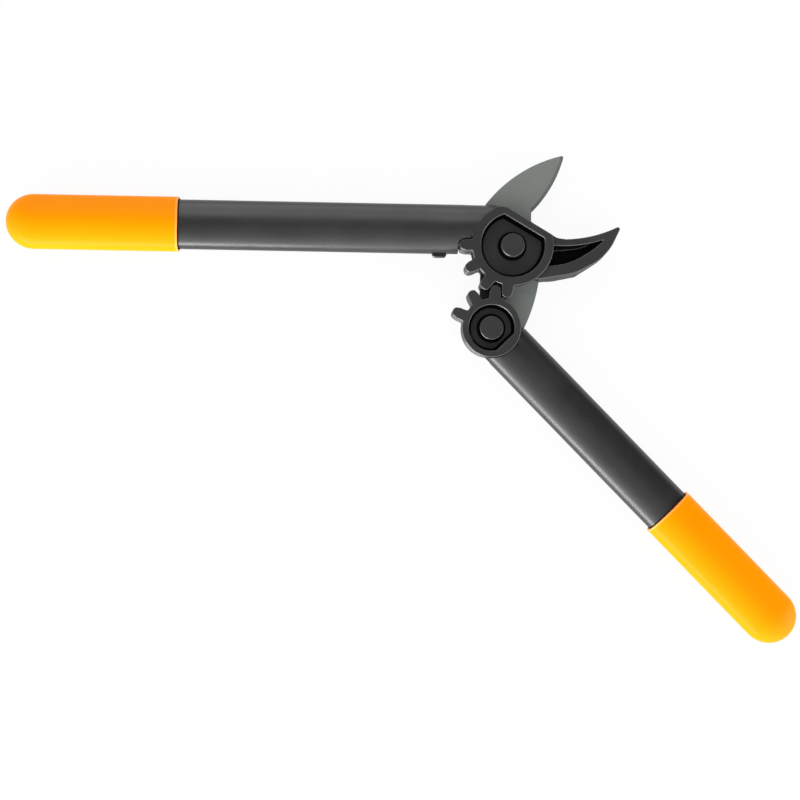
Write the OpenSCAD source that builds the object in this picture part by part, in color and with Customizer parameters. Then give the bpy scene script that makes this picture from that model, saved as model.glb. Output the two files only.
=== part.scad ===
// Geared anvil lopper: a fixed handle that ends in the anvil jaw, a blade that
// swings on the main pivot, and a lower handle whose toothed cheeks roll round
// the toothed cheeks of the jaw while the blade's tang carries its pivot.
// Units are millimetres. The tool lies on its back in its open position, with
// the main pivot on the Z axis, the fixed handle along -X and the jaw along +X.

/* [Head] */
// Thickness of the head over both cheeks
head_t = 28; // [26:0.5:32]
// Thickness of the blade plate
blade_t = 4; // [3:0.25:5]
// Thickness of each thrust washer beside the blade
washer_t = 0.5; // [0.4:0.05:0.8]
// Outer radius of each thrust washer
washer_r = 11; // [10.2:0.1:12]
// Play between a thrust washer and its cheek
side_play = 0.05; // [0.03:0.01:0.1]
// Width of the raised rim round the anvil cheek's pocket
rim_w = 6.4; // [5:0.1:7]
// Width of that rim along the cheek's straight edge
flat_rim_w = 5.2; // [4:0.1:6]
// Width of the raised rim round the drive cheek's pocket
drive_rim_w = 4.8; // [4:0.1:5.5]
// Depth of each pin pocket below the cheek's face
pocket_depth = 8.5; // [6:0.25:9]
// Distance of the anvil cheek's straight edge from the main pivot
anvil_flat = 21.5; // [20:0.25:23]
// Radius of the corner where that straight edge meets the disc
apex_round = 8; // [4:0.5:10]
// Distance of the drive pocket's straight edge from the drive pivot
drive_pocket_flat = 14.5; // [12:0.25:15]

/* [Gears] */
// Tooth module of the two toothed sectors
gear_module = 5.5; // [5.2:0.1:5.8]
// Pressure angle of the teeth
pressure_angle = 20; // [18:0.5:22]
// Height of the anvil gear's teeth above the pitch circle
sun_addendum = 3.6; // [3:0.1:3.8]
// Height of the drive gear's teeth above the pitch circle
planet_addendum = 4.0; // [3.2:0.1:4.2]
// Depth of the teeth below the pitch circle
dedendum = 5.7; // [5.5:0.1:6]
// Amount cut from each tooth flank for backlash
flank_gap = 0.35; // [0.3:0.05:0.5]
// Length of the rounded tip of each tooth
tip_round = 2.3; // [1.8:0.1:2.6]
// Radius of the fillet at each tooth root
root_fillet = 1.6; // [1:0.1:2]
// Radius of the web between the anvil gear's first tooth and its disc
web_r = 4.5; // [2:0.25:5]
// Height of the drive gear's opening stop above its root
stop_h = 2.2; // [1.5:0.1:2.4]

/* [Motion] */
// Direction from the main pivot to the drive pivot with the tool open
carrier_angle = -103.4; // [-106:0.1:-102]
// Direction of the lower handle with the tool open
lower_angle = -44.8; // [-50:0.1:-44]
// Swing of the blade from open to closed
closing_angle = 50; // [47:0.5:50]

/* [Pivots] */
// Radius of both pivot pins
pin_r = 6; // [5:0.25:6.5]
// Radius of the head and the cap of each pin
pin_head_r = 8.7; // [8.5:0.1:9.2]
// Radial running clearance of the pins in their bushes
running_gap = 0.05; // [0.02:0.01:0.08]
// Radial gap of pressed and seated pieces
seat_gap = 0.02; // [0.01:0.01:0.05]
// Wall of the bushes pressed into the blade
bush_wall = 2; // [1.5:0.25:2.5]
// Width of the shallow recess round each pin head
recess_w = 1.9; // [1:0.1:2.2]
// Depth of that recess and of the groove round each pocket's floor
recess_depth = 1.2; // [0.4:0.1:1.4]
// Width of the groove round each pocket's floor
groove_w = 1.6; // [1:0.1:2]

/* [Jaw and blade] */
// Radius of the cutting edge and of the anvil it lands on
edge_r = 92; // [88:1:96]
// Length taken off the blade's sharp tip
tip_blunt = 0.6; // [0.3:0.1:1.5]
// Radius of the back of the blade
back_r = 101; // [96:1:110]
// Reach of the jaw from the main pivot
jaw_reach = 79.8; // [76:0.5:84]
// Radius of the jaw's tip
jaw_tip_r = 1.6; // [1:0.1:2]
// Drop of the jaw's lower edge below the main pivot
jaw_drop = 24.6; // [23:0.2:26]
// Depth of the jaw's faces below the cheek faces
jaw_step = 2.5; // [1.5:0.1:3.5]
// Width of the jaw's upper rib, above its pocket
jaw_rib = 5; // [4:0.25:6]
// Depth of the pocket in each jaw face
jaw_pocket_depth = 6.6; // [3:0.2:6.8]
// Height of the rib of the anvil bar below the jaw halves
bar_rib = 1.8; // [0.5:0.1:2]
// Gap between the closed cutting edge and the anvil
edge_gap = 0.35; // [0.3:0.05:0.6]
// Width of each bevel of the cutting edge
bevel_w = 2.4; // [1.6:0.1:6]
// Thickness left at the cutting edge
edge_t = 0.4; // [0.2:0.05:0.6]
// Radius of the dowels that hold the anvil bar
dowel_r = 2; // [1.5:0.25:2.25]
// Depth of the dowels in each cheek
dowel_depth = 1.6; // [1.2:0.1:1.8]

/* [Handles] */
// Width of the oval tubes
tube_w = 37.2; // [36:0.2:37.6]
// Wall of the oval tubes
tube_wall = 3; // [2:0.25:3.5]
// Wall of the grips over the tubes
grip_wall = 2; // [1.5:0.1:2.5]
// Height of the fixed handle's centre line above the main pivot
upper_offset = 12.3; // [12.2:0.1:14]
// Reach of the fixed handle from the main pivot
upper_reach = 379.3; // [330:0.1:430]
// Reach of the lower handle from the drive pivot
lower_reach = 320; // [280:0.1:380]
// Length of each grip
grip_l = 129.5; // [100:0.5:140]
// Length of the domed end of each grip
dome_l = 21; // [14:0.5:24]
// Radius of the rounded mouth edge of each grip
mouth_round = 0.8; // [0.4:0.1:1.2]
// Distance from the main pivot to the end of the fixed tube
upper_tube_end = 12; // [10:0.5:16]
// Distance from the drive pivot to the lower tube's end, on the anvil's side
lower_tube_end = 16; // [15:0.5:18]
// Length of the cheek spigots inside the tubes, from their pivots
spigot_reach = 82; // [76:1:100]
// Radial gap of the spigots in the tubes and of the tubes in the grips
spigot_gap = 0.05; // [0.02:0.01:0.15]
// Gap between the cheek discs and the scooped tube ends
scoop_gap = 0.3; // [0.2:0.05:0.5]
// Gap round the anvil gear's first tooth, in the fixed tube's notch
notch_gap = 0.9; // [0.4:0.1:1.2]

/* [Bumper] */
// Length of the closing bumper along the tube
bumper_l = 10.8; // [9:0.2:12]
// Thickness of the closing bumper
bumper_t = 4.4; // [3.6:0.1:4.6]
// Distance of the bumper's centre from the main pivot along the tube
bumper_x = 54.3; // [53:0.1:56]
// Height of the bumper below the tube
bumper_h = 2.8; // [2:0.1:3]
// Radius of the bumper's lower edges
bumper_round = 2.4; // [1:0.1:2.6]

/* [Hidden] */
$fn = 96;
ring_sides = 60;
tip_flat = 0.06;
big = 200;

mid_z = head_t / 2;
slot_t = blade_t + 2 * (washer_t + side_play);
cheek_z = mid_z + slot_t / 2;
cheek_t = head_t - cheek_z;
pocket_z = head_t - pocket_depth;
recess_z = pocket_z - recess_depth;
jaw_z = head_t - jaw_step;

// Teeth that the full gears would have. Their ratio couples the two joints.
sun_teeth = 13;
planet_teeth = 10;
sun_pitch_r = gear_module * sun_teeth / 2;
planet_pitch_r = gear_module * planet_teeth / 2;
sun_r = sun_pitch_r - dedendum;
planet_r = planet_pitch_r - dedendum;
sun_tip_r = sun_pitch_r + sun_addendum;
planet_tip_r = planet_pitch_r + planet_addendum;
pivot_span = sun_pitch_r + planet_pitch_r;
drive_pivot = pivot_span * [cos(carrier_angle), sin(carrier_angle)];

// Tooth directions: the mesh point lies a little past the third gap of the anvil
// gear, and the two gears share it.
sun_step = 360 / sun_teeth;
planet_step = 360 / planet_teeth;
mesh_lead = 6.5;
sun_gap_angle = carrier_angle - mesh_lead;
planet_tooth_angle = carrier_angle + 180 + mesh_lead * sun_teeth / planet_teeth;
sun_tooth_angles = [for (i = [0:3]) sun_gap_angle + sun_step * (0.5 - i)];
planet_tooth_angles = [for (i = [0:2]) planet_tooth_angle + planet_step * i];
upper_tooth_angle = sun_tooth_angles[3];

// The anvil's arc in the jaw; the blade's cutting edge is the same arc, opened.
anvil_centre = [36.1, edge_r + 5.2];
edge_centre = turned(anvil_centre, closing_angle);
flat_angle = 60;
flat_l = 27.8;

// Corners of the jaw's outline, from its tip round to its lower edge, with the
// rounding of each corner of the lower edge as a third value.
jaw_tip = [jaw_reach + 1.2, anvil_y(jaw_reach + 1.2, edge_r) + 0.1];
jaw_chin = [70.2, -6.8];
jaw_lower = [
    [46.5, 4.6 - jaw_drop, 40],
    [20, -jaw_drop, 0],
    [0, -jaw_drop, 0]
];
// The anvil bar stands below the jaw halves as a rib.
bar_lower = [
    [47.6, 4.8 - jaw_drop - bar_rib, 6],
    [30, 1 - jaw_drop - bar_rib, 30],
    [16, 0.6 - jaw_drop - bar_rib, 0],
    [0, -jaw_drop, 0]
];
dowel_spots = [[46, -4], [60, 2]];

blade_z = mid_z - blade_t / 2;
bush_r = pin_r + running_gap + bush_wall;
blade_tip = [37.3, 69];
blade_root = [-20.5, 30.8];
heel = [14.1, 25.75];
hub_left = 31;
hub_right = 24;
bar_clear = 2.8;
tang_end_r = 13.3;
tang_back = 23.8;
slot_reach = 47;
drive_slot_reach = 25.8;

tube_t = head_t - 2 * grip_wall;
spigot_w = tube_w - 2 * tube_wall - 2 * spigot_gap;
spigot_t = tube_t - 2 * tube_wall - 2 * spigot_gap;
upper_mouth = upper_reach - grip_l;
lower_mouth = lower_reach - grip_l;
tube_inset = dome_l;
tube_floor = upper_offset - tube_w / 2;

plastic = [0.24, 0.24, 0.25];
orange = [1.0, 0.55, 0.05];
coating = [0.44, 0.46, 0.44];
steel = [0.62, 0.63, 0.65];
bronze = [0.66, 0.5, 0.3];
rubber = [0.1, 0.1, 0.1];

function turned(p, a) = [p.x * cos(a) - p.y * sin(a), p.x * sin(a) + p.y * cos(a)];
function unit(v) = v / norm(v);

// Height, at x, of the lower side of a circle round the anvil's centre.
function anvil_y(x, r) = anvil_centre.y - sqrt(r * r - pow(x - anvil_centre.x, 2));
function involute(a) = tan(a) * 180 / PI - a;

// Arc of radius r that rounds the corner b between the points a and c.
function corner(a, b, c, r, steps = 8) =
    let (
        u = unit(a - b),
        w = unit(c - b),
        half = acos(u * w) / 2,
        m = b + unit(u + w) * r / sin(half),
        s = b + u * r / tan(half) - m,
        e = b + w * r / tan(half) - m,
        from = atan2(s.y, s.x),
        sweep = (atan2(e.y, e.x) - from + 540) % 360 - 180
    )
    [for (i = [0:steps]) m + r * [cos(from + sweep * i / steps), sin(from + sweep * i / steps)]];

// Outline whose corners, given as [x, y, r], are rounded by their own radius r.
function rounded(p) = [
    for (i = [0:len(p) - 1])
        let (
            n = len(p),
            a = p[(i + n - 1) % n],
            b = p[i],
            c = p[(i + 1) % n]
        )
        each b[2] > 0
            ? corner([a.x, a.y], [b.x, b.y], [c.x, c.y], b[2])
            : [[b.x, b.y]]
];

// Half a tooth's width, as an angle, at radius r.
function tooth_half(teeth, r, grow) =
    let (
        pitch_r = gear_module * teeth / 2,
        base_r = pitch_r * cos(pressure_angle),
        thin = (flank_gap - grow) / pitch_r * 180 / PI
    )
    90 / teeth - thin + involute(pressure_angle) - involute(acos(min(1, base_r / r)));

// One flank of a tooth along +X: root fillet, involute side and rounded tip.
function tooth_flank(teeth, root_r, tip_r, grow) =
    let (
        base_r = gear_module * teeth / 2 * cos(pressure_angle),
        half_base = base_r * sin(tooth_half(teeth, base_r, grow)),
        fillet_r = root_r + root_fillet,
        foot = half_base + root_fillet,
        deep_r = sqrt(root_r * root_r - foot * foot) - root_fillet / 4,
        round_r = tip_r - tip_round,
        half_tip = tooth_half(teeth, round_r, grow)
    )
    concat(
        [for (a = [90:-30:0]) [
            deep_r + (fillet_r - deep_r) * (1 - sin(a)),
            half_base + root_fillet * (1 - cos(a))
        ]],
        [for (i = [0:4])
            let (r = base_r + (round_r - base_r) * i / 4, h = tooth_half(teeth, r, grow))
            r * [cos(h), sin(h)]],
        [for (a = [15:15:90])
            [round_r * cos(half_tip) + (tip_r - round_r * cos(half_tip)) * sin(a),
             round_r * sin(half_tip) * cos(a)]]
    );

// A whole tooth along +X.
module tooth(teeth, root_r, tip_r, grow = 0) {
    side = tooth_flank(teeth, root_r, tip_r, grow);
    last = len(side) - 1;
    polygon(concat(
        [[root_r / 2, 0]],
        [for (p = side) [p.x, -p.y]],
        [for (i = [last - 1:-1:0]) side[i]]
    ));
}

// Half plane that lies past the given distance in the given direction.
module beyond(distance, direction) {
    rotate(direction)
        translate([distance, -big])
            square([big, 2 * big]);
}

module plate(z, t) {
    translate([0, 0, z])
        linear_extrude(t)
            children();
}

// The rear half of the head mirrors the front half.
module rear_side() {
    translate([0, 0, head_t])
        mirror([0, 0, 1])
            children();
}

// Each handle's own frame: its pivot or foot at the origin, its tube along +X.
module along_upper() {
    translate([0, upper_offset, 0])
        rotate(180)
            children();
}

module along_lower() {
    translate(drive_pivot)
        rotate(lower_angle)
            children();
}

// Oval bar along +X, centred on the tool's middle plane.
module oval_bar(from, to, w, t) {
    translate([from, 0, mid_z])
        rotate([0, 90, 0])
            linear_extrude(to - from)
                scale([t / w, 1])
                    circle(d = w);
}

// Slot of the blade's thickness, round a pivot.
module blade_slot(r) {
    translate([0, 0, mid_z - slot_t / 2])
        cylinder(h = slot_t, r = r);
}

// Outline of the anvil cheek's toothed disc.
module sun_outline() {
    difference() {
        circle(sun_r);
        beyond(anvil_flat, flat_angle);
        apex_corner();
    }
    for (a = sun_tooth_angles)
        rotate(a)
            tooth(sun_teeth, sun_r, sun_tip_r);
    first_tooth_web();
}

// Web in the corner above the anvil gear's first tooth.
module first_tooth_web(grow = 0) {
    r = sun_r + grow;
    half = tooth_half(sun_teeth, sun_r, grow);
    foot = r * [cos(half), -sin(half)];
    along_disc = [foot.y, -foot.x];
    along_tooth = [1, tan(pressure_angle / 2)];
    rotate(upper_tooth_angle)
        polygon(concat(
            [foot + web_r * [-0.5, 0.5]],
            corner(foot + along_disc, foot, foot + along_tooth, web_r - grow)
        ));
}

// What the rounding takes off the corner between the disc and its straight edge.
module apex_corner() {
    turn = acos((anvil_flat - apex_round) / (sun_r - apex_round));
    centre = (sun_r - apex_round) * [cos(flat_angle + turn), sin(flat_angle + turn)];
    steps = 10;
    polygon(concat(
        [centre + 2 * apex_round * [cos(flat_angle + turn / 2), sin(flat_angle + turn / 2)]],
        [for (i = [0:steps])
            let (a = flat_angle + turn * i / steps)
            centre + apex_round * [cos(a), sin(a)]]
    ));
}

// Outline of the drive cheek's toothed disc, in the frame of the tool.
module planet_outline() {
    circle(planet_r);
    for (a = planet_tooth_angles)
        rotate(a)
            tooth(planet_teeth, planet_r, planet_tip_r);
    intersection() {
        circle(planet_r + stop_h);
        rotate(planet_tooth_angle - planet_step / 3)
            translate([0, -planet_r / 5])
                square([big, planet_r / 5]);
    }
}

// Outline of the jaw, with the anvil's hollow arc in its upper edge.
module jaw_outline(lower) {
    flat_start = anvil_flat * [cos(flat_angle), sin(flat_angle)];
    flat_end = flat_start + flat_l * [sin(flat_angle), -cos(flat_angle)];
    difference() {
        polygon(rounded(concat([
            [flat_start.x, flat_start.y, 0],
            [flat_end.x, flat_end.y, 2],
            [jaw_tip.x, jaw_tip.y, 0],
            [jaw_chin.x, jaw_chin.y, 38]
        ], lower)));
        translate(anvil_centre)
            circle(edge_r, $fn = 240);
        jaw_tip_corner();
    }
}

// What the rounding takes off the jaw's tip, between the anvil and the nose.
module jaw_tip_corner() {
    nose = jaw_tip - jaw_chin;
    x = jaw_reach - 2.2;
    centre = [x, anvil_y(x, edge_r + jaw_tip_r)];
    from = atan2(-nose.x, nose.y);
    to = atan2(anvil_centre.y - centre.y, anvil_centre.x - centre.x);
    far = 5 * jaw_tip_r;
    translate(centre)
        difference() {
            polygon(concat(
                [[0, 0]],
                [for (a = [from, (from + to) / 2, to]) far * [cos(a), sin(a)]]
            ));
            circle(jaw_tip_r);
        }
}

// Outline of the pocket that makes the jaw an I-section.
module jaw_pocket_outline() {
    difference() {
        polygon(rounded([
            [24, 8, 0],
            [64, 9, 0],
            [67.6, 3.4, 2.5],
            [57.4, -6, 12],
            [47, 13 - jaw_drop, 20],
            [35, 10.6 - jaw_drop, 20],
            [24, 9.6 - jaw_drop, 0]
        ]));
        circle(sun_r);
        translate(anvil_centre)
            circle(edge_r + jaw_rib, $fn = 240);
    }
}

// Outline of a pin pocket: a disc with one straight side.
module pocket_outline(r, flat, direction) {
    difference() {
        circle(r);
        beyond(flat, direction);
    }
}

// Pocket, groove, recess and bore for a pin in a front cheek.
module pin_pocket(r, flat, direction) {
    plate(pocket_z, pocket_depth + 1)
        pocket_outline(r, flat, direction);
    plate(recess_z, pocket_depth)
        difference() {
            pocket_outline(r, flat, direction);
            pocket_outline(r - groove_w, flat - groove_w, direction);
        }
    translate([0, 0, recess_z])
        cylinder(h = pocket_depth, r = pin_head_r + recess_w);
    translate([0, 0, cheek_z - 1])
        cylinder(h = cheek_t, r = pin_r + seat_gap);
}

// Half of the oval spigot that plugs into a tube.
module spigot(from, pivot, slot_r) {
    difference() {
        intersection() {
            oval_bar(from, spigot_reach, spigot_w, spigot_t);
            translate([0, -big, mid_z])
                cube([big, 2 * big, big]);
        }
        translate(pivot)
            blade_slot(slot_r);
    }
}

module anvil_cheek() {
    difference() {
        union() {
            plate(cheek_z, cheek_t)
                sun_outline();
            plate(cheek_z, jaw_z - cheek_z)
                jaw_outline(jaw_lower);
            along_upper()
                spigot(sun_r / 2, [0, upper_offset], slot_reach);
        }
        pin_pocket(sun_r - rim_w, anvil_flat - flat_rim_w, flat_angle);
        plate(jaw_z - jaw_pocket_depth, big)
            jaw_pocket_outline();
        dowels(dowel_r + seat_gap, 0);
    }
}

module drive_cheek() {
    difference() {
        union() {
            plate(cheek_z, cheek_t)
                translate(drive_pivot)
                    planet_outline();
            along_lower()
                spigot(planet_r / 2, [0, 0], drive_slot_reach);
        }
        along_lower()
            pin_pocket(planet_r - drive_rim_w, drive_pocket_flat, 0);
    }
}

// Dowels through the anvil bar; spare lengthens them at each end.
module dowels(r, spare) {
    l = slot_t + 2 * (dowel_depth - spare);
    for (p = dowel_spots)
        translate([p.x, p.y, mid_z - l / 2])
            cylinder(h = l, r = r);
}

// Pin with its head in the front pocket.
module pivot_pin() {
    translate([0, 0, recess_z])
        cylinder(h = head_t - recess_z, r = pin_head_r);
    translate([0, 0, head_t - recess_z - 1])
        cylinder(h = 2 * recess_z - head_t + 2, r = pin_r);
}

// Cap pressed on the pin in the rear pocket, with its face on the resting plane.
module pivot_cap() {
    cylinder(h = head_t - recess_z - 1, r = pin_head_r);
}

module bush() {
    translate([0, 0, blade_z])
        difference() {
            cylinder(h = blade_t, r = bush_r - seat_gap);
            translate([0, 0, -1])
                cylinder(h = blade_t + 2, r = pin_r + running_gap);
        }
}

module washer(z) {
    translate([0, 0, z])
        difference() {
            cylinder(h = washer_t, r = washer_r);
            translate([0, 0, -1])
                cylinder(h = washer_t + 2, r = pin_r + 2 * running_gap);
        }
}

module upper_handle_tube() {
    color(plastic)
        difference() {
            along_upper()
                difference() {
                    oval_bar(upper_tube_end, upper_reach - tube_inset, tube_w, tube_t);
                    oval_bar(0, upper_reach, tube_w - 2 * tube_wall, tube_t - 2 * tube_wall);
                }
            plate(-1, head_t + 2)
                cheek_clearance();
            blade_slot(slot_reach);
            bumper_block(spigot_gap);
        }
}

// What the tube leaves free for the cheek's disc and its first tooth.
module cheek_clearance() {
    circle(sun_r + scoop_gap);
    rotate(upper_tooth_angle)
        tooth(sun_teeth, sun_r, sun_tip_r + notch_gap, notch_gap);
    first_tooth_web(notch_gap);
    intersection() {
        circle(sun_tip_r + notch_gap + scoop_gap);
        rotate(upper_tooth_angle)
            square([big, big]);
    }
}

module bumper_block(gap) {
    top = tube_floor + tube_wall;
    translate([0, 0, mid_z - bumper_t / 2 - gap])
        linear_extrude(bumper_t + 2 * gap)
            polygon(rounded([
                [-bumper_x - bumper_l / 2 - gap, top, 0],
                [-bumper_x - bumper_l / 2 - gap, tube_floor - bumper_h, bumper_round],
                [-bumper_x + bumper_l / 2 + gap, tube_floor - bumper_h, bumper_round],
                [-bumper_x + bumper_l / 2 + gap, top, 0]
            ]));
}

// Ring of points round an oval section at the station u.
function oval_ring(u, w, t) = [
    for (i = [0:ring_sides - 1])
        let (a = 360 * i / ring_sides)
        [u, w / 2 * cos(a), mid_z + t / 2 * sin(a)]
];

// Closed skin over a row of rings, with a flat cap on the first and the last.
module loft(rings) {
    n = ring_sides;
    last = (len(rings) - 1) * n;
    polyhedron(
        points = [for (r = rings) each r],
        faces = concat(
            [[for (i = [n - 1:-1:0]) i]],
            [for (k = [0:len(rings) - 2], i = [0:n - 1])
                let (a = k * n + i, b = k * n + (i + 1) % n)
                each [[a, b, b + n], [a, b + n, a + n]]],
            [[for (i = [0:n - 1]) last + i]]
        )
    );
}

// Sleeve that starts at the bottom of the tube's seat, turns over its rounded
// mouth and closes in a dome past the tube's end.
module grip(mouth, reach) {
    w = tube_w + 2 * grip_wall;
    t = tube_t + 2 * grip_wall;
    seat = 2 * spigot_gap;
    dome = [for (a = [0:10:80]) [sin(a), cos(a)]];
    color(orange)
        loft(concat(
            [oval_ring(reach - tube_inset + spigot_gap, tube_w + seat, tube_t + seat)],
            [oval_ring(mouth, tube_w + seat, tube_t + seat)],
            [for (a = [0:30:90])
                let (cut = 2 * mouth_round * (1 - sin(a)))
                oval_ring(mouth + mouth_round * (1 - cos(a)), w - cut, t - cut)],
            [for (d = dome) oval_ring(reach - dome_l * (1 - d.x), w * d.y, t * d.y)],
            [oval_ring(reach, w * tip_flat, t * tip_flat)]
        ));
}

module upper_grip() {
    along_upper()
        grip(upper_mouth, upper_reach);
}

module front_anvil_cheek() {
    color(plastic)
        anvil_cheek();
}

module rear_anvil_cheek() {
    color(plastic)
        rear_side()
            anvil_cheek();
}

module anvil_bar() {
    color(plastic)
        difference() {
            plate(mid_z - slot_t / 2, slot_t)
                difference() {
                    jaw_outline(bar_lower);
                    circle(hub_left + bar_clear);
                }
            dowels(dowel_r + seat_gap, 0);
        }
}

module anvil_dowels() {
    color(steel)
        dowels(dowel_r, seat_gap);
}

module main_pivot_pin() {
    color(plastic)
        pivot_pin();
}

module main_pivot_cap() {
    color(plastic)
        pivot_cap();
}

module closing_bumper() {
    color(rubber)
        bumper_block(0);
}

// The leaf of the blade: a lens between the cutting edge and the back.
module leaf_outline() {
    chord = blade_root - blade_tip;
    back_centre = (blade_root + blade_tip) / 2
        + unit([-chord.y, chord.x]) * sqrt(back_r * back_r - chord * chord / 4);
    difference() {
        intersection() {
            translate(edge_centre)
                circle(edge_r - edge_gap, $fn = 240);
            translate(back_centre)
                circle(back_r, $fn = 240);
            polygon([
                [-heel.x, heel.y / 2],
                [heel.x, heel.y / 2],
                [big, heel.y],
                [big, big],
                [blade_root.x, big],
                blade_root
            ]);
        }
        beyond(norm(blade_tip) - tip_blunt, atan2(blade_tip.y, blade_tip.x));
    }
    translate([-heel.x, 0])
        square([2 * heel.x, heel.y]);
}

// The tang, in a frame with +X from the main pivot to the drive pivot.
module tang_outline() {
    polygon(rounded([
        [0, hub_left - 6, 0],
        [26, 17.6, 0],
        [41.5, 14.1, 0],
        [pivot_span, tang_end_r, 0],
        [pivot_span + tang_end_r, tang_end_r, tang_end_r - 0.1],
        [pivot_span + tang_end_r, -6, 6],
        [pivot_span - 1.6, -tang_back + 0.4, 4],
        [20.3, -26.1, 0],
        [8, -hub_right + 3, 0]
    ]));
}

module blade() {
    color(coating)
        difference() {
            plate(blade_z, blade_t) {
                leaf_outline();
                circle(hub_right);
                intersection() {
                    circle(hub_left);
                    beyond(0, carrier_angle - 60);
                }
                rotate(carrier_angle)
                    mirror([0, 1])
                        tang_outline();
            }
            for (p = [[0, 0], drive_pivot])
                translate([p.x, p.y, blade_z - 1])
                    cylinder(h = blade_t + 2, r = bush_r);
            edge_bevels();
        }
}

// The two bevels of the cutting edge: cones round the edge's own centre.
module edge_bevels() {
    edge = edge_r - edge_gap;
    land = edge_t / 2;
    top = blade_t / 2;
    over = 2;
    slope = (top - land) / bevel_w;
    from = atan2(heel.y - edge_centre.y, heel.x - edge_centre.x) + 1;
    to = atan2(blade_tip.y - edge_centre.y, blade_tip.x - edge_centre.x) + over;
    for (side = [0, 1])
        translate([edge_centre.x, edge_centre.y, mid_z])
            mirror([0, 0, side])
                rotate(from)
                    rotate_extrude(angle = to - from, $fn = 240)
                        polygon([
                            [edge - bevel_w - over, land + slope * (bevel_w + over)],
                            [edge + over, land - slope * over],
                            [edge + over, top + over]
                        ]);
}

module main_pivot_bush() {
    color(bronze)
        bush();
}

module drive_pivot_bush() {
    color(bronze)
        translate(drive_pivot)
            bush();
}

module main_front_washer() {
    color(steel)
        washer(blade_z + blade_t);
}

module main_rear_washer() {
    color(steel)
        washer(blade_z - washer_t);
}

module drive_front_washer() {
    color(steel)
        translate(drive_pivot)
            washer(blade_z + blade_t);
}

module drive_rear_washer() {
    color(steel)
        translate(drive_pivot)
            washer(blade_z - washer_t);
}

module lower_handle_tube() {
    color(plastic)
        along_lower()
            difference() {
                oval_bar(planet_r / 4, lower_reach - tube_inset, tube_w, tube_t);
                oval_bar(0, lower_reach, tube_w - 2 * tube_wall, tube_t - 2 * tube_wall);
                translate([0, 0, -1])
                    cylinder(h = head_t + 2, r = planet_r + scoop_gap);
                translate([-big, 0, -1])
                    cube([big + lower_tube_end, big, head_t + 2]);
                blade_slot(drive_slot_reach);
            }
}

module lower_grip() {
    along_lower()
        grip(lower_mouth, lower_reach);
}

module front_drive_cheek() {
    color(plastic)
        drive_cheek();
}

module rear_drive_cheek() {
    color(plastic)
        rear_side()
            drive_cheek();
}

module drive_pivot_pin() {
    color(plastic)
        translate(drive_pivot)
            pivot_pin();
}

module drive_pivot_cap() {
    color(plastic)
        translate(drive_pivot)
            pivot_cap();
}

upper_handle_tube();
upper_grip();
front_anvil_cheek();
rear_anvil_cheek();
anvil_bar();
anvil_dowels();
main_pivot_pin();
main_pivot_cap();
closing_bumper();
blade();
main_pivot_bush();
drive_pivot_bush();
main_front_washer();
main_rear_washer();
drive_front_washer();
drive_rear_washer();
lower_handle_tube();
lower_grip();
front_drive_cheek();
rear_drive_cheek();
drive_pivot_pin();
drive_pivot_cap();
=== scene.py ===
import math

import bmesh
import bpy
from mathutils import Matrix, Vector


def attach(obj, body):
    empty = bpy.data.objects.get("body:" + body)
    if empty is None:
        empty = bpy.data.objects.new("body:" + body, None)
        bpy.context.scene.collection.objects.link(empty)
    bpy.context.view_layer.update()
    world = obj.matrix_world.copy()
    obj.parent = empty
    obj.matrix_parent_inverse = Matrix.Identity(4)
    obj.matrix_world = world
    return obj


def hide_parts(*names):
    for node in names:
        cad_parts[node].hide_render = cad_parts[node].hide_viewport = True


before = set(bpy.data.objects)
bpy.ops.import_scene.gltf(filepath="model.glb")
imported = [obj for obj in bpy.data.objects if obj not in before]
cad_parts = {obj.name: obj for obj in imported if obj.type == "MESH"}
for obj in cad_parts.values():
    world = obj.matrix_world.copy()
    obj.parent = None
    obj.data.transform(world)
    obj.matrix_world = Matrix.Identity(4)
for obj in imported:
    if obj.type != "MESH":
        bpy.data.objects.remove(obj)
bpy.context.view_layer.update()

# The studio: the tool lies open on a white sweep and is seen from straight above. A long
# low softbox stands to its lower left, with weaker ones below it, above it and to its
# right. The room is white near the floor, dim overhead and dark to the upper right.
scene = bpy.context.scene
scene.view_settings.view_transform = "Standard"

camera_data = bpy.data.cameras.new("camera")
camera_data.sensor_width = 36
camera_data.lens = 57.9
camera = bpy.data.objects.new("camera", camera_data)
camera.location = (-0.08143, -0.11629, 0.979)
camera.rotation_euler = (0, 0, math.radians(1.1))
scene.collection.objects.link(camera)
scene.camera = camera


def softbox(name, place, target, width, height, watts):
    """Rectangular lamp that faces a target."""
    lamp = bpy.data.lights.new(name, "AREA")
    lamp.shape = "RECTANGLE"
    lamp.size, lamp.size_y = width, height
    lamp.energy = watts
    box = bpy.data.objects.new(name, lamp)
    box.location = place
    box.rotation_euler = (Vector(target) - Vector(place)).to_track_quat("-Z", "Y").to_euler()
    scene.collection.objects.link(box)


softbox("low_softbox", (-0.73, -1.05, 0.17), (-0.05, -0.12, 0.01), 1.05, 0.33, 16.0)
softbox("front_softbox", (0.05, -1.25, 0.20), (-0.05, -0.1, 0.01), 1.4, 0.40, 0.8)
softbox("high_softbox", (-0.05, 0.85, 1.05), (-0.05, 0.0, 0.0), 1.6, 0.45, 3.0)
softbox("right_softbox", (1.25, -0.45, 0.30), (0.12, -0.22, 0.01), 1.0, 0.45, 5.5)


def add_node(tree, kind, inputs=None, **settings):
    """Adds a node, sets its properties, and sets or links its inputs."""
    made = tree.nodes.new(kind)
    for key, value in settings.items():
        setattr(made, key, value)
    for key, value in (inputs or {}).items():
        socket = made.inputs[key]
        if isinstance(value, bpy.types.NodeSocket):
            tree.links.new(value, socket)
        else:
            socket.default_value = value
    return made


def calc(tree, operation, *values):
    """Result of a math node on numbers and sockets."""
    return add_node(tree, "ShaderNodeMath", dict(enumerate(values)), operation=operation).outputs[0]


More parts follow.
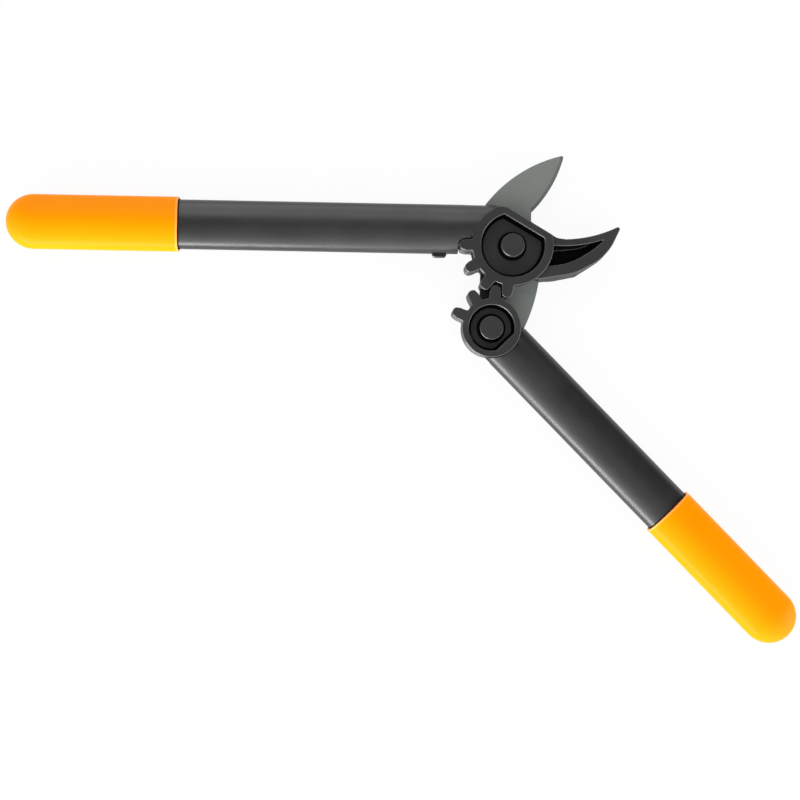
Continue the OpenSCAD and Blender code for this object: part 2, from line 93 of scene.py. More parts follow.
def remap(tree, value, low, high, to_low=0.0, to_high=1.0, smooth=False):
    """Value taken from one range to another and held at the ends."""
    return add_node(tree, "ShaderNodeMapRange", {
        "Value": value, "From Min": low, "From Max": high, "To Min": to_low, "To Max": to_high},
        interpolation_type="SMOOTHSTEP" if smooth else "LINEAR").outputs["Result"]


world = bpy.data.worlds.new("white_room")
scene.world = world
world.use_nodes = True
sky = world.node_tree
sky.nodes.clear()
direction = add_node(sky, "ShaderNodeTexCoord").outputs["Generated"]
toward = add_node(sky, "ShaderNodeSeparateXYZ", {0: direction}).outputs
bearing = calc(sky, "ARCTAN2", toward["Y"], toward["X"])


def shaded_side(centre, inner, outer, least):
    """Brightness that sinks to its least round one bearing of the room, in degrees."""
    apart = calc(sky, "SUBTRACT", bearing, math.radians(centre))
    apart = calc(sky, "ABSOLUTE", calc(sky, "WRAP", apart, math.pi, -math.pi))
    return remap(sky, apart, math.radians(inner), math.radians(outer), least, 1.0, smooth=True)


horizon_light, zenith_light = 2.05, 0.49
overhead = remap(sky, toward["Z"], 0.45, 0.95, horizon_light, zenith_light)
walls = calc(sky, "MULTIPLY", shaded_side(42, 22, 50, 0.0), shaded_side(155, 15, 50, 0.3))
shade = calc(sky, "MULTIPLY", walls, overhead)
room = add_node(sky, "ShaderNodeBackground", {"Color": shade, "Strength": 1.2})
add_node(sky, "ShaderNodeOutputWorld", {"Surface": room.outputs["Background"]})

floor_reach, floor_level = 6.0, -0.0003
floor_mesh = bpy.data.meshes.new("floor")
floor_mesh.from_pydata(
    [(x * floor_reach, y * floor_reach, floor_level) for x, y in ((-1, -1), (1, -1), (1, 1), (-1, 1))],
    [], [(0, 1, 2, 3)])
floor = bpy.data.objects.new("floor", floor_mesh)
scene.collection.objects.link(floor)

# The paper looks white by itself, apart from the small share that shows the shadow.
white_share = 0.93
white = bpy.data.materials.new("white_sweep")
white.use_nodes = True
sweep = white.node_tree
sweep.nodes.clear()
paper = add_node(sweep, "ShaderNodeBsdfDiffuse", {"Color": (0.9, 0.9, 0.9, 1)})
glow = add_node(sweep, "ShaderNodeEmission", {"Color": (1, 1, 1, 1), "Strength": 1.0})
ray = add_node(sweep, "ShaderNodeLightPath").outputs
seen = calc(sweep, "MAXIMUM", ray["Is Camera Ray"], ray["Is Glossy Ray"])
seen = calc(sweep, "MAXIMUM", seen, ray["Is Transmission Ray"])
mix = add_node(sweep, "ShaderNodeMixShader", {
    0: calc(sweep, "MULTIPLY", seen, white_share), 1: paper.outputs[0], 2: glow.outputs[0]})
add_node(sweep, "ShaderNodeOutputMaterial", {"Surface": mix.outputs[0]})
floor_mesh.materials.append(white)

# The handle tubes: hollow oval tubes of glass-filled nylon, moulded in a dark
# satin grey. Each is pushed over the spigots of its two head cheeks, and the
# fixed one is slotted for the blade and scooped round the toothed disc.
grain = bpy.data.node_groups.new("moulding_grain", "ShaderNodeTree")
for label, kind in (("Vector", "Vector"), ("Colour", "Color"), ("Fleck", "Color"), ("Fleck Amount", "Float"),
                    ("Roughness", "Float"), ("Mottle", "Float"), ("Spark Scale", "Float")):
    grain.interface.new_socket(label, in_out="INPUT", socket_type="NodeSocket" + kind)
for label, kind in (("Colour", "Color"), ("Roughness", "Float"), ("Height", "Float")):
    grain.interface.new_socket(label, in_out="OUTPUT", socket_type="NodeSocket" + kind)
given = grain.nodes.new("NodeGroupInput").outputs

# Broad flow mottling, fibre flecks near the skin and the fine spark texture of the mould.
flow = add_node(grain, "ShaderNodeTexNoise", {
    "Vector": given["Vector"], "Scale": 28.0, "Detail": 3.0, "Roughness": 0.55})
uneven = calc(grain, "MULTIPLY", remap(grain, flow.outputs["Fac"], 0.3, 0.7, -1.0, 1.0), given["Mottle"])
toned = add_node(grain, "ShaderNodeVectorMath", {
    0: given["Colour"], 1: calc(grain, "ADD", uneven, 1.0)}, operation="MULTIPLY")
fibre = add_node(grain, "ShaderNodeTexNoise", {
    "Vector": given["Vector"], "Scale": 900.0, "Detail": 4.0, "Roughness": 0.65})
fleck_share = calc(grain, "MULTIPLY", remap(grain, fibre.outputs["Fac"], 0.56, 0.72), given["Fleck Amount"])
flecked = add_node(grain, "ShaderNodeMix", {
    0: fleck_share, 6: toned.outputs[0], 7: given["Fleck"]}, data_type="RGBA")
spark = add_node(grain, "ShaderNodeTexNoise", {
    "Vector": given["Vector"], "Scale": given["Spark Scale"], "Detail": 2.0})
add_node(grain, "NodeGroupOutput", {
    "Colour": flecked.outputs[2], "Roughness": calc(grain, "MULTIPLY_ADD", uneven, 0.5, given["Roughness"]),
    "Height": spark.outputs["Fac"]})


def grained(name, colour, fleck, fleck_amount, roughness, spark=2600.0, depth=0.00003, specular=0.5,
            mottle=0.1, relief=0.35, metallic=0.0):
    """Finish with the flecks and the fine relief of the grain, a moulded plastic unless it is metallic."""
    made = bpy.data.materials.new(name)
    made.use_nodes = True
    tree = made.node_tree
    shader = tree.nodes["Principled BSDF"]
    place = add_node(tree, "ShaderNodeTexCoord").outputs["Object"]
    skin = add_node(tree, "ShaderNodeGroup", node_tree=grain, name="skin")
    for label, value in (("Colour", (*colour, 1)), ("Fleck", (*fleck, 1)), ("Fleck Amount", fleck_amount),
                         ("Roughness", roughness), ("Mottle", mottle), ("Spark Scale", spark)):
        skin.inputs[label].default_value = value
    tree.links.new(place, skin.inputs["Vector"])
    bump = add_node(tree, "ShaderNodeBump", {
        "Strength": relief, "Distance": depth, "Height": skin.outputs["Height"]})
    tree.links.new(skin.outputs["Colour"], shader.inputs["Base Color"])
    tree.links.new(skin.outputs["Roughness"], shader.inputs["Roughness"])
    tree.links.new(bump.outputs["Normal"], shader.inputs["Normal"])
    shader.inputs["Specular IOR Level"].default_value = specular
    shader.inputs["Metallic"].default_value = metallic
    return made


tube_nylon = grained("tube_nylon", (0.0175, 0.0175, 0.018), (0.05, 0.05, 0.051), 0.25, 0.33)
# A lighter copy of the nylon for eased edges: a painted highlight.
edge_highlight_nylon = grained("edge_highlight_nylon", (0.040, 0.040, 0.041), (0.09, 0.09, 0.092), 0.5, 0.28)
merge_gap = 4e-6


def merged_copy(node):
    """Copy of a CAD node with its doubles and its flat seams taken out."""
    bm = bmesh.new()
    bm.from_mesh(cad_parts[node].data)
    bmesh.ops.remove_doubles(bm, verts=bm.verts, dist=merge_gap)
    bmesh.ops.dissolve_limit(bm, angle_limit=math.radians(0.4), use_dissolve_boundaries=False,
                             verts=bm.verts, edges=bm.edges, delimit=set())
    return bm


def cut_across(bm, point, normal):
    """Cuts all faces along a plane, so that they can bend there."""
    bmesh.ops.bisect_plane(bm, geom=bm.verts[:] + bm.edges[:] + bm.faces[:], dist=1e-7,
                           plane_co=point, plane_no=normal)


def add_piece(bm, name, body, finishes, node=None):
    """Piece that rides on a body, and stands for a CAD node if one is named."""
    mesh = bpy.data.meshes.new(name)
    bm.to_mesh(mesh)
    bm.free()
    for finish in finishes:
        mesh.materials.append(finish)
    piece = bpy.data.objects.new(name, mesh)
    scene.collection.objects.link(piece)
    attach(piece, body)
    if node:
        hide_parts(node)
    return piece


def eased_piece(bm, name, body, finishes, width, node=None, limit=32.0, plain=None, rim=None):
    """Piece with its sharp edges chamfered, in the second finish, apart from its plain edges."""
    rim_width = 0.0005

    def chamfer(chosen, offset):
        sharp = [e for e in bm.edges if e.is_convex and e.calc_face_angle(0.0) > math.radians(limit)
                 and all(f.material_index == 0 for f in e.link_faces) and chosen(e)]
        bmesh.ops.bevel(bm, geom=sharp, offset=offset, offset_type="OFFSET", segments=1, profile=0.5,
                        clamp_overlap=False, affect="EDGES", material=1)

    if rim:
        chamfer(rim, rim_width)
    chamfer(lambda e: not (plain and plain(e)), width)
    bmesh.ops.remove_doubles(bm, verts=bm.verts, dist=merge_gap)
    bmesh.ops.dissolve_degenerate(bm, dist=merge_gap, edges=bm.edges)
    bm.normal_update()
    for f in bm.faces:
        f.smooth = abs(f.normal.z) < 0.9999
    for e in bm.edges:
        e.smooth = e.calc_face_angle(0.0) < math.radians(36)
    return add_piece(bm, name, body, finishes, node)


middle_z = 0.014
tube_y, tube_half_w, tube_half_t = 0.0123, 0.0186, 0.012
tube_ease = 0.0004
disc_r, scoop_r = 0.03005, 0.03035
flush_gap, flush_slack, flush_depth = 0.00002, 0.0002, 0.0090
flush_from, flush_to = 96, 176


def depth_of(point):
    """Distance of a point from the plane in the middle of the tool."""
    return abs(point.z - middle_z)


def meets_disc(edge):
    """Edge of the outer skin where the fixed tube and the toothed disc meet flush."""
    for v in edge.verts:
        spread = math.hypot(v.co.x, v.co.y)
        turn = math.degrees(math.atan2(v.co.y, v.co.x))
        if not (disc_r - flush_slack < spread < scoop_r + flush_slack and flush_from < turn < flush_to
                and depth_of(v.co) > flush_depth):
            return False
    return True


# The fixed tube swells towards the head until its crown is flush with the disc.
swell_from, swell_to, swollen_half_t = -0.066, -0.034, 0.01395
swell_cuts, swell_pitch = 11, 0.004
along_x = (1, 0, 0)
tube = merged_copy("upper_handle_tube")
for step in range(swell_cuts):
    cut_across(tube, (swell_from + swell_pitch * step, 0, 0), along_x)
for v in tube.verts:
    w, h = v.co.y - tube_y, v.co.z - middle_z
    if abs((w / tube_half_w) ** 2 + (h / tube_half_t) ** 2 - 1) < 0.02:
        share = min(max((v.co.x - swell_from) / (swell_to - swell_from), 0), 1)
        v.co.z = middle_z + h * (1 + (swollen_half_t / tube_half_t - 1) * share * share * (3 - 2 * share))
        spread = math.hypot(v.co.x, v.co.y)
        if abs(spread - scoop_r) < flush_slack / 2:
            shrink = (disc_r + flush_gap) / spread
            v.co.x, v.co.y = v.co.x * shrink, v.co.y * shrink
tube_finishes = (tube_nylon, edge_highlight_nylon)
eased_piece(tube, "upper_tube", "fixed_handle", tube_finishes, tube_ease,
            node="upper_handle_tube", plain=meets_disc)
eased_piece(merged_copy("lower_handle_tube"), "lower_tube", "moving_handle", tube_finishes,
            tube_ease, node="lower_handle_tube")

# The head cheeks: four thick mouldings of the same nylon, in mirrored pairs, with
# edges painted lighter as a highlight. The anvil pair carries the toothed disc, the jaw
# and the pin pocket, the drive pair the smaller toothed disc.
cheek_nylon = grained("cheek_nylon", (0.0222, 0.0222, 0.0227), (0.05, 0.05, 0.051), 0.25, 0.33)
cheek_side = grained(
    "cheek_side", (0.017, 0.017, 0.0174), (0.06, 0.06, 0.061), 0.4, 0.45, depth=0.00008, specular=0.33)
# The deep walls, floors and pin recesses of the pockets are painted matt black: painted shade.
painted_pocket_shade = grained(
    "painted_pocket_shade", (0.0012, 0.0012, 0.0013), (0.003, 0.003, 0.003), 0.3, 0.75, specular=0.06)
cheek_finishes = (cheek_nylon, edge_highlight_nylon, painted_pocket_shade, cheek_side)
in_pocket, on_side = 2, 3
cheek_ease = 0.0005
pivot_spacing, carrier = 0.06325, math.radians(-103.4)
main_pivot = Vector((0, 0, 0))
drive_pivot = Vector((pivot_spacing * math.cos(carrier), pivot_spacing * math.sin(carrier), 0))
main_reach, drive_reach = 0.0240, 0.0175
pocket_low, pocket_high, face_depth = 0.0040, 0.0134, 0.0135
recess_depth, recess_r = 0.0050, 0.0108


def pocket_rim(pivot, reach):
    """Test for the edges round the mouth of the pocket at a pivot."""
    return lambda edge: all(
        (v.co.xy - pivot.xy).length < reach and depth_of(v.co) > face_depth for v in edge.verts)


def finish_walls(cheek, pivot, reach):
    """Coarser side walls, and the walls, groove and pin recess in the pocket round a pivot painted matt black
    as shade.
    """
    for p in cheek.data.polygons:
        depth = depth_of(p.center)
        spread = (p.center.xy - pivot.xy).length
        upright = abs(p.normal.z) < 0.5
        sunk = pocket_low < depth < pocket_high
        if sunk and (upright and spread < reach or depth < recess_depth and spread < recess_r):
            p.material_index = in_pocket
        elif upright:
            p.material_index = on_side


def line_at(points, x):
    """Height at x of a polyline whose points run to the right."""
    for (x0, y0), (x1, y1) in zip(points, points[1:]):
        if x0 <= x <= x1:
            return y0 + (y1 - y0) * (x - x0) / (x1 - x0)
    return None


def curve_at(points, x):
    """Height at x of a smooth curve through points that run to the right."""
    for i, ((x0, y0), (x1, y1)) in enumerate(zip(points, points[1:])):
        if x0 <= x <= x1:
            xa, ya = points[max(i - 1, 0)]
            xb, yb = points[min(i + 2, len(points) - 1)]
            t, run = (x - x0) / (x1 - x0), x1 - x0
            m0, m1 = run * (y1 - ya) / (x1 - xa), run * (yb - y0) / (xb - x0)
            return ((2 * t ** 3 - 3 * t ** 2 + 1) * y0 + (t ** 3 - 2 * t ** 2 + t) * m0
                    + (3 * t ** 2 - 2 * t ** 3) * y1 + (t ** 3 - t ** 2) * m1)
    return None


def inside(outline, x, y):
    """Whether a point lies in a closed outline."""
    held = False
    for (x0, y0), (x1, y1) in zip(outline, outline[1:] + outline[:1]):
        if (y0 > y) != (y1 > y) and x < x0 + (x1 - x0) * (y - y0) / (y1 - y0):
            held = not held
    return held


# The jaw's lower walls lean out from the edge of its face to the anvil strip between them.
face_edge = [(0.0195, -0.0246), (0.0400, -0.0212), (0.0465, -0.0198), (0.0540, -0.0164), (0.0640, -0.0102)]
strip_edge = [(0.0195, -0.0258), (0.0300, -0.0253), (0.0470, -0.0216), (0.0540, -0.0173), (0.0640, -0.0105)]
lean_depth, lean_slack = 0.00335, 0.0012

# The jaw's pocket, whose lower wall is one smooth sweep.
jaw_pocket = [(0.0236, 0.0060), (0.0300, 0.0004), (0.0450, 0.0012), (0.0560, 0.0030), (0.0685, 0.0070),
              (0.0682, 0.0030), (0.0580, -0.0064), (0.0472, -0.0122), (0.0352, -0.0144), (0.0236, -0.0155)]
jaw_pocket_low, jaw_pocket_high = 0.0045, 0.0110
pocket_sweep = [(0.0290, -0.0144), (0.0330, -0.0140), (0.0375, -0.0132), (0.0441, -0.0111), (0.0497, -0.0083),
                (0.0553, -0.0049), (0.0600, -0.0016), (0.0646, 0.0024), (0.0672, 0.0050)]
sweep_start, sweep_pitch, sweep_cuts = 0.0315, 0.0016, 23
sweep_high, sweep_pull = 0.0118, 0.0035
for side in ("front", "rear"):
    bm = merged_copy(side + "_anvil_cheek")
    for step in range(sweep_cuts):
        cut_across(bm, (sweep_start + sweep_pitch * step, 0, 0), along_x)
    for v in bm.verts:
        lowest = curve_at(pocket_sweep, v.co.x)
        if (lowest is not None and jaw_pocket_low < depth_of(v.co) < sweep_high
                and lowest - sweep_pull < v.co.y < lowest):
            v.co.y = lowest
    cheek = eased_piece(bm, side + "_anvil_moulding", "fixed_handle", cheek_finishes,
                        cheek_ease, node=side + "_anvil_cheek", plain=meets_disc,
                        rim=pocket_rim(main_pivot, main_reach))
    finish_walls(cheek, main_pivot, main_reach)
    for v in cheek.data.vertices:
        edge, rib = line_at(face_edge, v.co.x), line_at(strip_edge, v.co.x)
        if edge is not None and depth_of(v.co) <= lean_depth and v.co.y < edge + lean_slack:
            v.co.y -= edge - rib
    # Faces deep in the jaw's pocket are painted matt black as shade.
    for p in cheek.data.polygons:
        deep = jaw_pocket_low < depth_of(p.center) < jaw_pocket_high
        if deep and inside(jaw_pocket, p.center.x, p.center.y):
            p.material_index = in_pocket
    cheek = eased_piece(merged_copy(side + "_drive_cheek"), side + "_drive_moulding", "moving_handle",
                        cheek_finishes, cheek_ease, node=side + "_drive_cheek",
                        rim=pocket_rim(drive_pivot, drive_reach))
    finish_walls(cheek, drive_pivot, drive_reach)
strip_ease = 0.0004
eased_piece(merged_copy("anvil_bar"), "anvil_strip", "fixed_handle",
            (cheek_side, edge_highlight_nylon), strip_ease, node="anvil_bar")

# A gusset carries the disc's flat on into the jaw's upper edge.
gusset_line = [(0.0282, 0.0089), (0.0282, 0.0049), (0.0385, 0.0049), (0.0385, 0.0054), (0.0360, 0.0056),
               (0.0342, 0.00585), (0.0328, 0.0062), (0.0315, 0.00675), (0.0302, 0.00755), (0.0288, 0.00855)]
gusset_gap, gusset_height, gusset_ease = 0.0028, 0.0087, 0.0003
gusset_finishes = (cheek_nylon, edge_highlight_nylon, cheek_side)
for side, low in (("front", middle_z + gusset_gap), ("rear", middle_z - gusset_gap - gusset_height)):
    bm = bmesh.new()
    foot = bm.faces.new([bm.verts.new((x, y, low)) for x, y in gusset_line])
    grown = bmesh.ops.extrude_face_region(bm, geom=[foot])["geom"]
    bmesh.ops.translate(bm, verts=[g for g in grown if isinstance(g, bmesh.types.BMVert)],
                        vec=(0, 0, gusset_height))
    bmesh.ops.recalc_face_normals(bm, faces=bm.faces)
    gusset = eased_piece(bm, side + "_jaw_gusset", "fixed_handle", gusset_finishes,
                         gusset_ease)
    for p in gusset.data.polygons:
        if abs(p.normal.z) < 0.5:
            p.material_index = gusset_finishes.index(cheek_side)

# A ledge runs along the upper wall of each jaw pocket, under the arc of the jaw's back,
# and dies out towards its tip. It is painted matt black as shade, and its eased edge
# is painted lighter as a highlight.
ledge_line = [(0.0296, -0.0036), (0.0330, -0.0034), (0.0365, -0.0031), (0.0400, -0.0027), (0.0435, -0.0023),
              (0.0470, -0.0018), (0.0503, -0.0011), (0.0530, -0.0002), (0.0555, 0.0010), (0.0578, 0.0026)]
ledge_foot, ledge_top, ledge_ease = 0.0045, 0.0082, 0.0006
back_x, back_y, back_r = 0.0361, 0.0972, 0.0966
for side, facing in (("front", 1), ("rear", -1)):
    bm = bmesh.new()
    rows = []
    for x, y in ledge_line:
        back = back_y - math.sqrt(back_r ** 2 - (x - back_x) ** 2)
        rows.append([bm.verts.new((x, across, middle_z + facing * depth)) for across, depth in (
            (back, ledge_foot), (back, ledge_top), (y + ledge_ease, ledge_top), (y, ledge_top - ledge_ease),
            (y, ledge_foot))])
    for a, b in zip(rows, rows[1:]):
        for k in range(len(a)):
            after = (k + 1) % len(a)
            quad = bm.faces.new((a[k], b[k], b[after], a[after]))
            quad.material_index = int(k == 2)
    bm.faces.new(rows[0])
    bm.faces.new(rows[-1][::-1])
    bmesh.ops.recalc_face_normals(bm, faces=bm.faces)
    add_piece(bm, side + "_jaw_ledge", "fixed_handle", (painted_pocket_shade, edge_highlight_nylon))


# The grips: sleeves moulded in orange over the tubes' ends, oval like the tubes,
# with a full dome at the end and a lip at the mouth painted lighter as a highlight,
# where a thin dark ring on the tube paints the lip's shadow.
def sleeve_tree():
    """Geometry nodes for a domed oval sleeve along +X, from its mouth at 0."""
    tree = bpy.data.node_groups.new("domed_sleeve", "GeometryNodeTree")
    for label in ("Length", "Dome", "Width", "Thickness"):
        tree.interface.new_socket(label, in_out="INPUT", socket_type="NodeSocketFloat")
    tree.interface.new_socket("Material", in_out="INPUT", socket_type="NodeSocketMaterial")
    tree.interface.new_socket("Geometry", in_out="OUTPUT", socket_type="NodeSocketGeometry")
    start = tree.nodes.new("NodeGroupInput").outputs
    line = add_node(tree, "GeometryNodeCurvePrimitiveLine")
    points = add_node(tree, "GeometryNodeResampleCurve", {"Curve": line.outputs["Curve"], "Count": 61})

    # The first half of the points lies along the straight, the second over the dome,
    # which stops just short of its pole.
    share = add_node(tree, "GeometryNodeSplineParameter").outputs["Factor"]
    straight = remap(tree, share, 0.0, 0.5, 0.0, calc(tree, "SUBTRACT", start["Length"], start["Dome"]))
    turn = remap(tree, share, 0.5, 1.0, 0.0, math.pi / 2 - 0.004)
    dome = calc(tree, "MULTIPLY", calc(tree, "SINE", turn), start["Dome"])
    spot = add_node(tree, "ShaderNodeCombineXYZ", {"X": calc(tree, "ADD", straight, dome)})
    sized = add_node(tree, "GeometryNodeSetCurveRadius", {
        "Curve": points.outputs[0], "Radius": calc(tree, "COSINE", turn)})
    laid = add_node(tree, "GeometryNodeSetPosition", {
        "Geometry": sized.outputs[0], "Position": spot.outputs[0]})

    ring = add_node(tree, "GeometryNodeCurvePrimitiveCircle", {
        "Resolution": 128, "Radius": calc(tree, "MULTIPLY", start["Width"], 0.5)})
    radius = add_node(tree, "GeometryNodeInputRadius")
    skin = add_node(tree, "GeometryNodeCurveToMesh", {
        "Curve": laid.outputs[0], "Profile Curve": ring.outputs[0], "Scale": radius.outputs[0]})
    flat = calc(tree, "DIVIDE", start["Thickness"], start["Width"])
    oval = add_node(tree, "ShaderNodeCombineXYZ", {"X": 1.0, "Y": 1.0, "Z": flat})
    shaped = add_node(tree, "GeometryNodeTransform", {
        "Geometry": skin.outputs[0], "Scale": oval.outputs[0]})
    merged = add_node(tree, "GeometryNodeMergeByDistance", {"Geometry": shaped.outputs[0], "Distance": 1e-5})
    real = add_node(tree, "GeometryNodeRealizeInstances", {"Geometry": merged.outputs[0]})
    painted = add_node(tree, "GeometryNodeSetMaterial", {
        "Geometry": real.outputs[0], "Material": start["Material"]})
    add_node(tree, "NodeGroupOutput", {"Geometry": painted.outputs[0]})
    return tree


grip_orange = grained("grip_orange", (1.0, 0.282, 0.0), (1.0, 0.35, 0.0), 0.08, 0.30, spark=1700.0,
                      specular=0.045, mottle=0.015)
# A lighter orange on the lip band and its eased edge is a painted highlight.
lip_highlight_orange = grained("lip_highlight_orange", (1.0, 0.36, 0.065), (1.0, 0.45, 0.12), 0.3, 0.34, spark=1700.0,
                        specular=0.2, mottle=0.03)
# A dark brown ring on the tube at the mouth is the lip's painted shadow.
mouth_seal = grained(
    "mouth_seal", (0.036, 0.011, 0.001), (0.06, 0.02, 0.003), 0.3, 0.7, specular=0.02)
grip_length, grip_dome = 0.1295, 0.021
grip_width, grip_thickness, grip_wall = 0.0412, 0.028, 0.0019
mouth_bow, lip_band, lip_ease = 0.0008, 0.0014, 0.0007
shadow_ring_sides, shadow_ring_length, shadow_ring_inset = 128, 0.0009, 0.0006
shadow_ring_gap, shadow_ring_proud = 0.00005, 0.0004
upper_reach, lower_reach, lower_bearing = 0.3793, 0.3200, math.radians(-44.8)
upper_line = Matrix.Translation((0, tube_y, middle_z)) @ Matrix.Rotation(math.pi, 4, "Z")
lower_line = (Matrix.Translation(drive_pivot + Vector((0, 0, middle_z)))
              @ Matrix.Rotation(lower_bearing, 4, "Z"))


def bowed(x, z_share):
    """Place along a mouth that stands out most at its front and rear."""
    return x - mouth_bow * z_share ** 2


sleeve = sleeve_tree()
sockets = {s.name: s.identifier for s in sleeve.interface.items_tree if s.in_out == "INPUT"}
for name, node, body, line, reach in (
        ("upper_grip_sleeve", "upper_grip", "fixed_handle", upper_line, upper_reach),
        ("lower_grip_sleeve", "lower_grip", "moving_handle", lower_line, lower_reach)):
    maker = bpy.data.objects.new(name + "_start", bpy.data.meshes.new(name + "_start"))
    scene.collection.objects.link(maker)
    shaping = maker.modifiers.new("sleeve", "NODES")
    shaping.node_group = sleeve
    for label, value in (("Length", grip_length), ("Dome", grip_dome), ("Width", grip_width),
                         ("Thickness", grip_thickness), ("Material", grip_orange)):
        shaping[sockets[label]] = value
    shell = bpy.data.meshes.new_from_object(maker.evaluated_get(bpy.context.evaluated_depsgraph_get()))
    bpy.data.objects.remove(maker)
    bm = bmesh.new()
    bm.from_mesh(shell)
    bpy.data.meshes.remove(shell)
    cut_across(bm, (lip_band, 0, 0), along_x)
    for f in bm.faces:
        f.smooth = True
        f.material_index = int(f.calc_center_median().x < lip_band)
    for v in bm.verts:
        if v.co.x < lip_band + 1e-5:
            v.co.x = bowed(v.co.x, v.co.z / (grip_thickness / 2))
    bmesh.ops.recalc_face_normals(bm, faces=bm.faces)
    bm.transform(line @ Matrix.Translation((reach - grip_length, 0, 0)))
    grip = add_piece(bm, name, body, (grip_orange, lip_highlight_orange), node)
    wall = grip.modifiers.new("wall", "SOLIDIFY")
    wall.thickness = grip_wall
    wall.offset = -1
    lip = grip.modifiers.new("lip", "BEVEL")
    lip.width = lip_ease
    lip.segments = 3
    lip.material = 1
    lip.limit_method = "ANGLE"
    lip.angle_limit = math.radians(60)

    # The ring of painted lip shadow, just proud of the tube at the mouth.
    bm = bmesh.new()
    rings = []
    for x, proud in ((shadow_ring_inset, shadow_ring_gap), (-shadow_ring_length, shadow_ring_gap), (-shadow_ring_length, shadow_ring_proud),
                     (shadow_ring_inset, shadow_ring_proud)):
        turns = [math.tau * i / shadow_ring_sides for i in range(shadow_ring_sides)]
        rings.append([bm.verts.new((
            reach - grip_length + bowed(x, math.sin(turn)),
            (tube_half_w + proud) * math.cos(turn),
            (tube_half_t + proud) * math.sin(turn))) for turn in turns])
    for a, b in zip(rings, rings[1:] + rings[:1]):
        for i in range(shadow_ring_sides):
            bm.faces.new((a[i], a[i - 1], b[i - 1], b[i]))
    bmesh.ops.recalc_face_normals(bm, faces=bm.faces)
    bm.transform(line)
    add_piece(bm, name + "_seal", body, (mouth_seal,))

# The pivots: flat-headed pins through both cheeks and the blade, with a pressed
# cap at the rear, coated dark like the mouldings round them.
pin_coating = grained(
    "pin_coating", (0.0245, 0.0245, 0.025), (0.06, 0.06, 0.061), 0.25, 0.32, spark=3400.0, depth=0.00002)
# The pins' eased edges take a lighter copy of the coating: a painted highlight.
edge_highlight_pin = grained(
    "edge_highlight_pin", (0.034, 0.034, 0.035), (0.08, 0.08, 0.08), 0.5, 0.28, spark=3400.0, depth=0.00002)
pin_ease = 0.00045
for pivot, body in (("main", "fixed_handle"), ("drive", "moving_handle")):
    for end in ("pin", "cap"):
        node = pivot + "_pivot_" + end
        eased_piece(merged_copy(node), pivot + "_" + end, body, (pin_coating, edge_highlight_pin),
                    pin_ease, node=node)

# The blade: a hardened steel plate with a ground edge, coated all over in a satin
# grey that slides through wood. Its tang runs between the cheeks and carries the
# pivot of the lower handle.
blade_grey = (0.155, 0.169, 0.158)
# Black for the painted shade on the tang behind the teeth.
painted_shade_black = (0.0035, 0.0035, 0.0035, 1)
coating = grained("blade_coating", blade_grey, (0.25, 0.27, 0.25), 0.22, 0.42, spark=4200.0, depth=0.00002,
                  mottle=0.05, relief=0.25)
ground_edge = grained("ground_edge", (0.086, 0.094, 0.088), (0.11, 0.118, 0.112), 0.3, 0.5, spark=4200.0,
                      depth=0.00002, specular=0.15)
tang_dir = Vector((math.cos(carrier), math.sin(carrier), 0))
tang_right = Vector((-math.sin(carrier), math.cos(carrier), 0))

# Fine grinding lines show through the coating, and painted shade blackens it behind the teeth, deep between
# the cheeks.
coat = coating.node_tree
spot = add_node(coat, "ShaderNodeTexCoord").outputs["Object"]
ground_way = add_node(coat, "ShaderNodeMapping", {
    "Vector": spot, "Rotation": (0, 0, math.radians(-52)), "Scale": (1.0, 24.0, 1.0)})
lines = add_node(coat, "ShaderNodeTexNoise", {
    "Vector": ground_way.outputs[0], "Scale": 60.0, "Detail": 4.0, "Roughness": 0.6})
lined = add_node(coat, "ShaderNodeVectorMath", {
    0: blade_grey, 1: remap(coat, lines.outputs["Fac"], 0.3, 0.7, 0.93, 1.06)}, operation="MULTIPLY")
across = add_node(coat, "ShaderNodeVectorMath", {0: spot, 1: -tang_right}, operation="DOT_PRODUCT")
along = add_node(coat, "ShaderNodeVectorMath", {0: spot, 1: tang_dir}, operation="DOT_PRODUCT")
shade_share = calc(coat, "MULTIPLY", remap(coat, across.outputs["Value"], 0.001, 0.006, smooth=True),
              remap(coat, along.outputs["Value"], 0.006, 0.012, smooth=True))
shaded_coat = add_node(coat, "ShaderNodeMix", {
    0: shade_share, 6: lined.outputs[0], 7: painted_shade_black}, data_type="RGBA")
coat.links.new(shaded_coat.outputs[2], coat.nodes["skin"].inputs["Colour"])

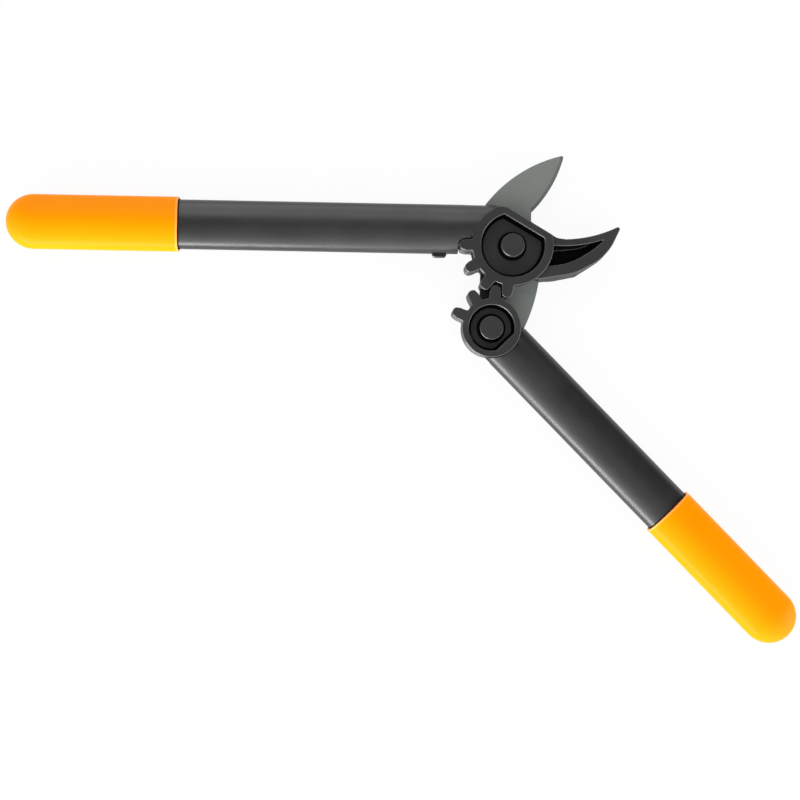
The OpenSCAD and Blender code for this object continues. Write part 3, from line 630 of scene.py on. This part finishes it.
# The tang's right side is bowed between the cheeks.
tang_from, tang_to, tang_bulge, tang_cuts = 0.0203, 0.0600, 0.0016, 16
tang_side = 0.0225
blade_ease, blade_limit = 0.0003, 50.0
plate = merged_copy("blade")
for step in range(1, tang_cuts):
    cut_across(plate, tang_dir * (tang_from + (tang_to - tang_from) * step / tang_cuts), tang_dir)
for v in plate.verts:
    share = (v.co.dot(tang_dir) - tang_from) / (tang_to - tang_from)
    if 0 < share < 1 and v.co.dot(tang_right) > tang_side:
        v.co += tang_right * (tang_bulge * 4 * share * (1 - share))
blade = eased_piece(plate, "blade_plate", "blade", (coating, ground_edge), blade_ease,
                    node="blade", limit=blade_limit)
for p in blade.data.polygons:
    if abs(p.normal.z) < 0.999:
        p.material_index = 1

# The bearings: sintered bushes pressed into the plate, ground steel washers beside
# it, and the two dowels that hold the anvil strip. They show only at the gaps.
ground_steel = grained("ground_steel", (0.56, 0.57, 0.58), (0.336, 0.342, 0.348), 0.5, 0.34, spark=3000.0,
                       depth=0.00002, relief=0.3, metallic=1.0)
sintered_bronze = grained("sintered_bronze", (0.55, 0.36, 0.17), (0.33, 0.216, 0.102), 0.5, 0.46,
                          spark=2200.0, depth=0.00002, relief=0.3, metallic=1.0)
bronze_nodes = ("main_pivot_bush", "drive_pivot_bush")
steel_nodes = ("main_front_washer", "main_rear_washer", "drive_front_washer", "drive_rear_washer",
               "anvil_dowels")
for nodes, metal in ((bronze_nodes, sintered_bronze), (steel_nodes, ground_steel)):
    for node in nodes:
        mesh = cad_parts[node].data
        mesh.materials.clear()
        mesh.materials.append(metal)

# The closing bumper: a small rubber block set into the fixed tube's underside,
# with a painted highlight on its eased edges, that faces the tang when the tool is shut.
bumper_rubber = grained("bumper_rubber", (0.012, 0.012, 0.012), (0.03, 0.03, 0.03), 0.3, 0.62, spark=1500.0,
                        depth=0.00006, specular=0.3)
bumper_ease = 0.0006
eased_piece(merged_copy("closing_bumper"), "bumper_block", "fixed_handle",
            (bumper_rubber, edge_highlight_nylon), bumper_ease, node="closing_bumper")
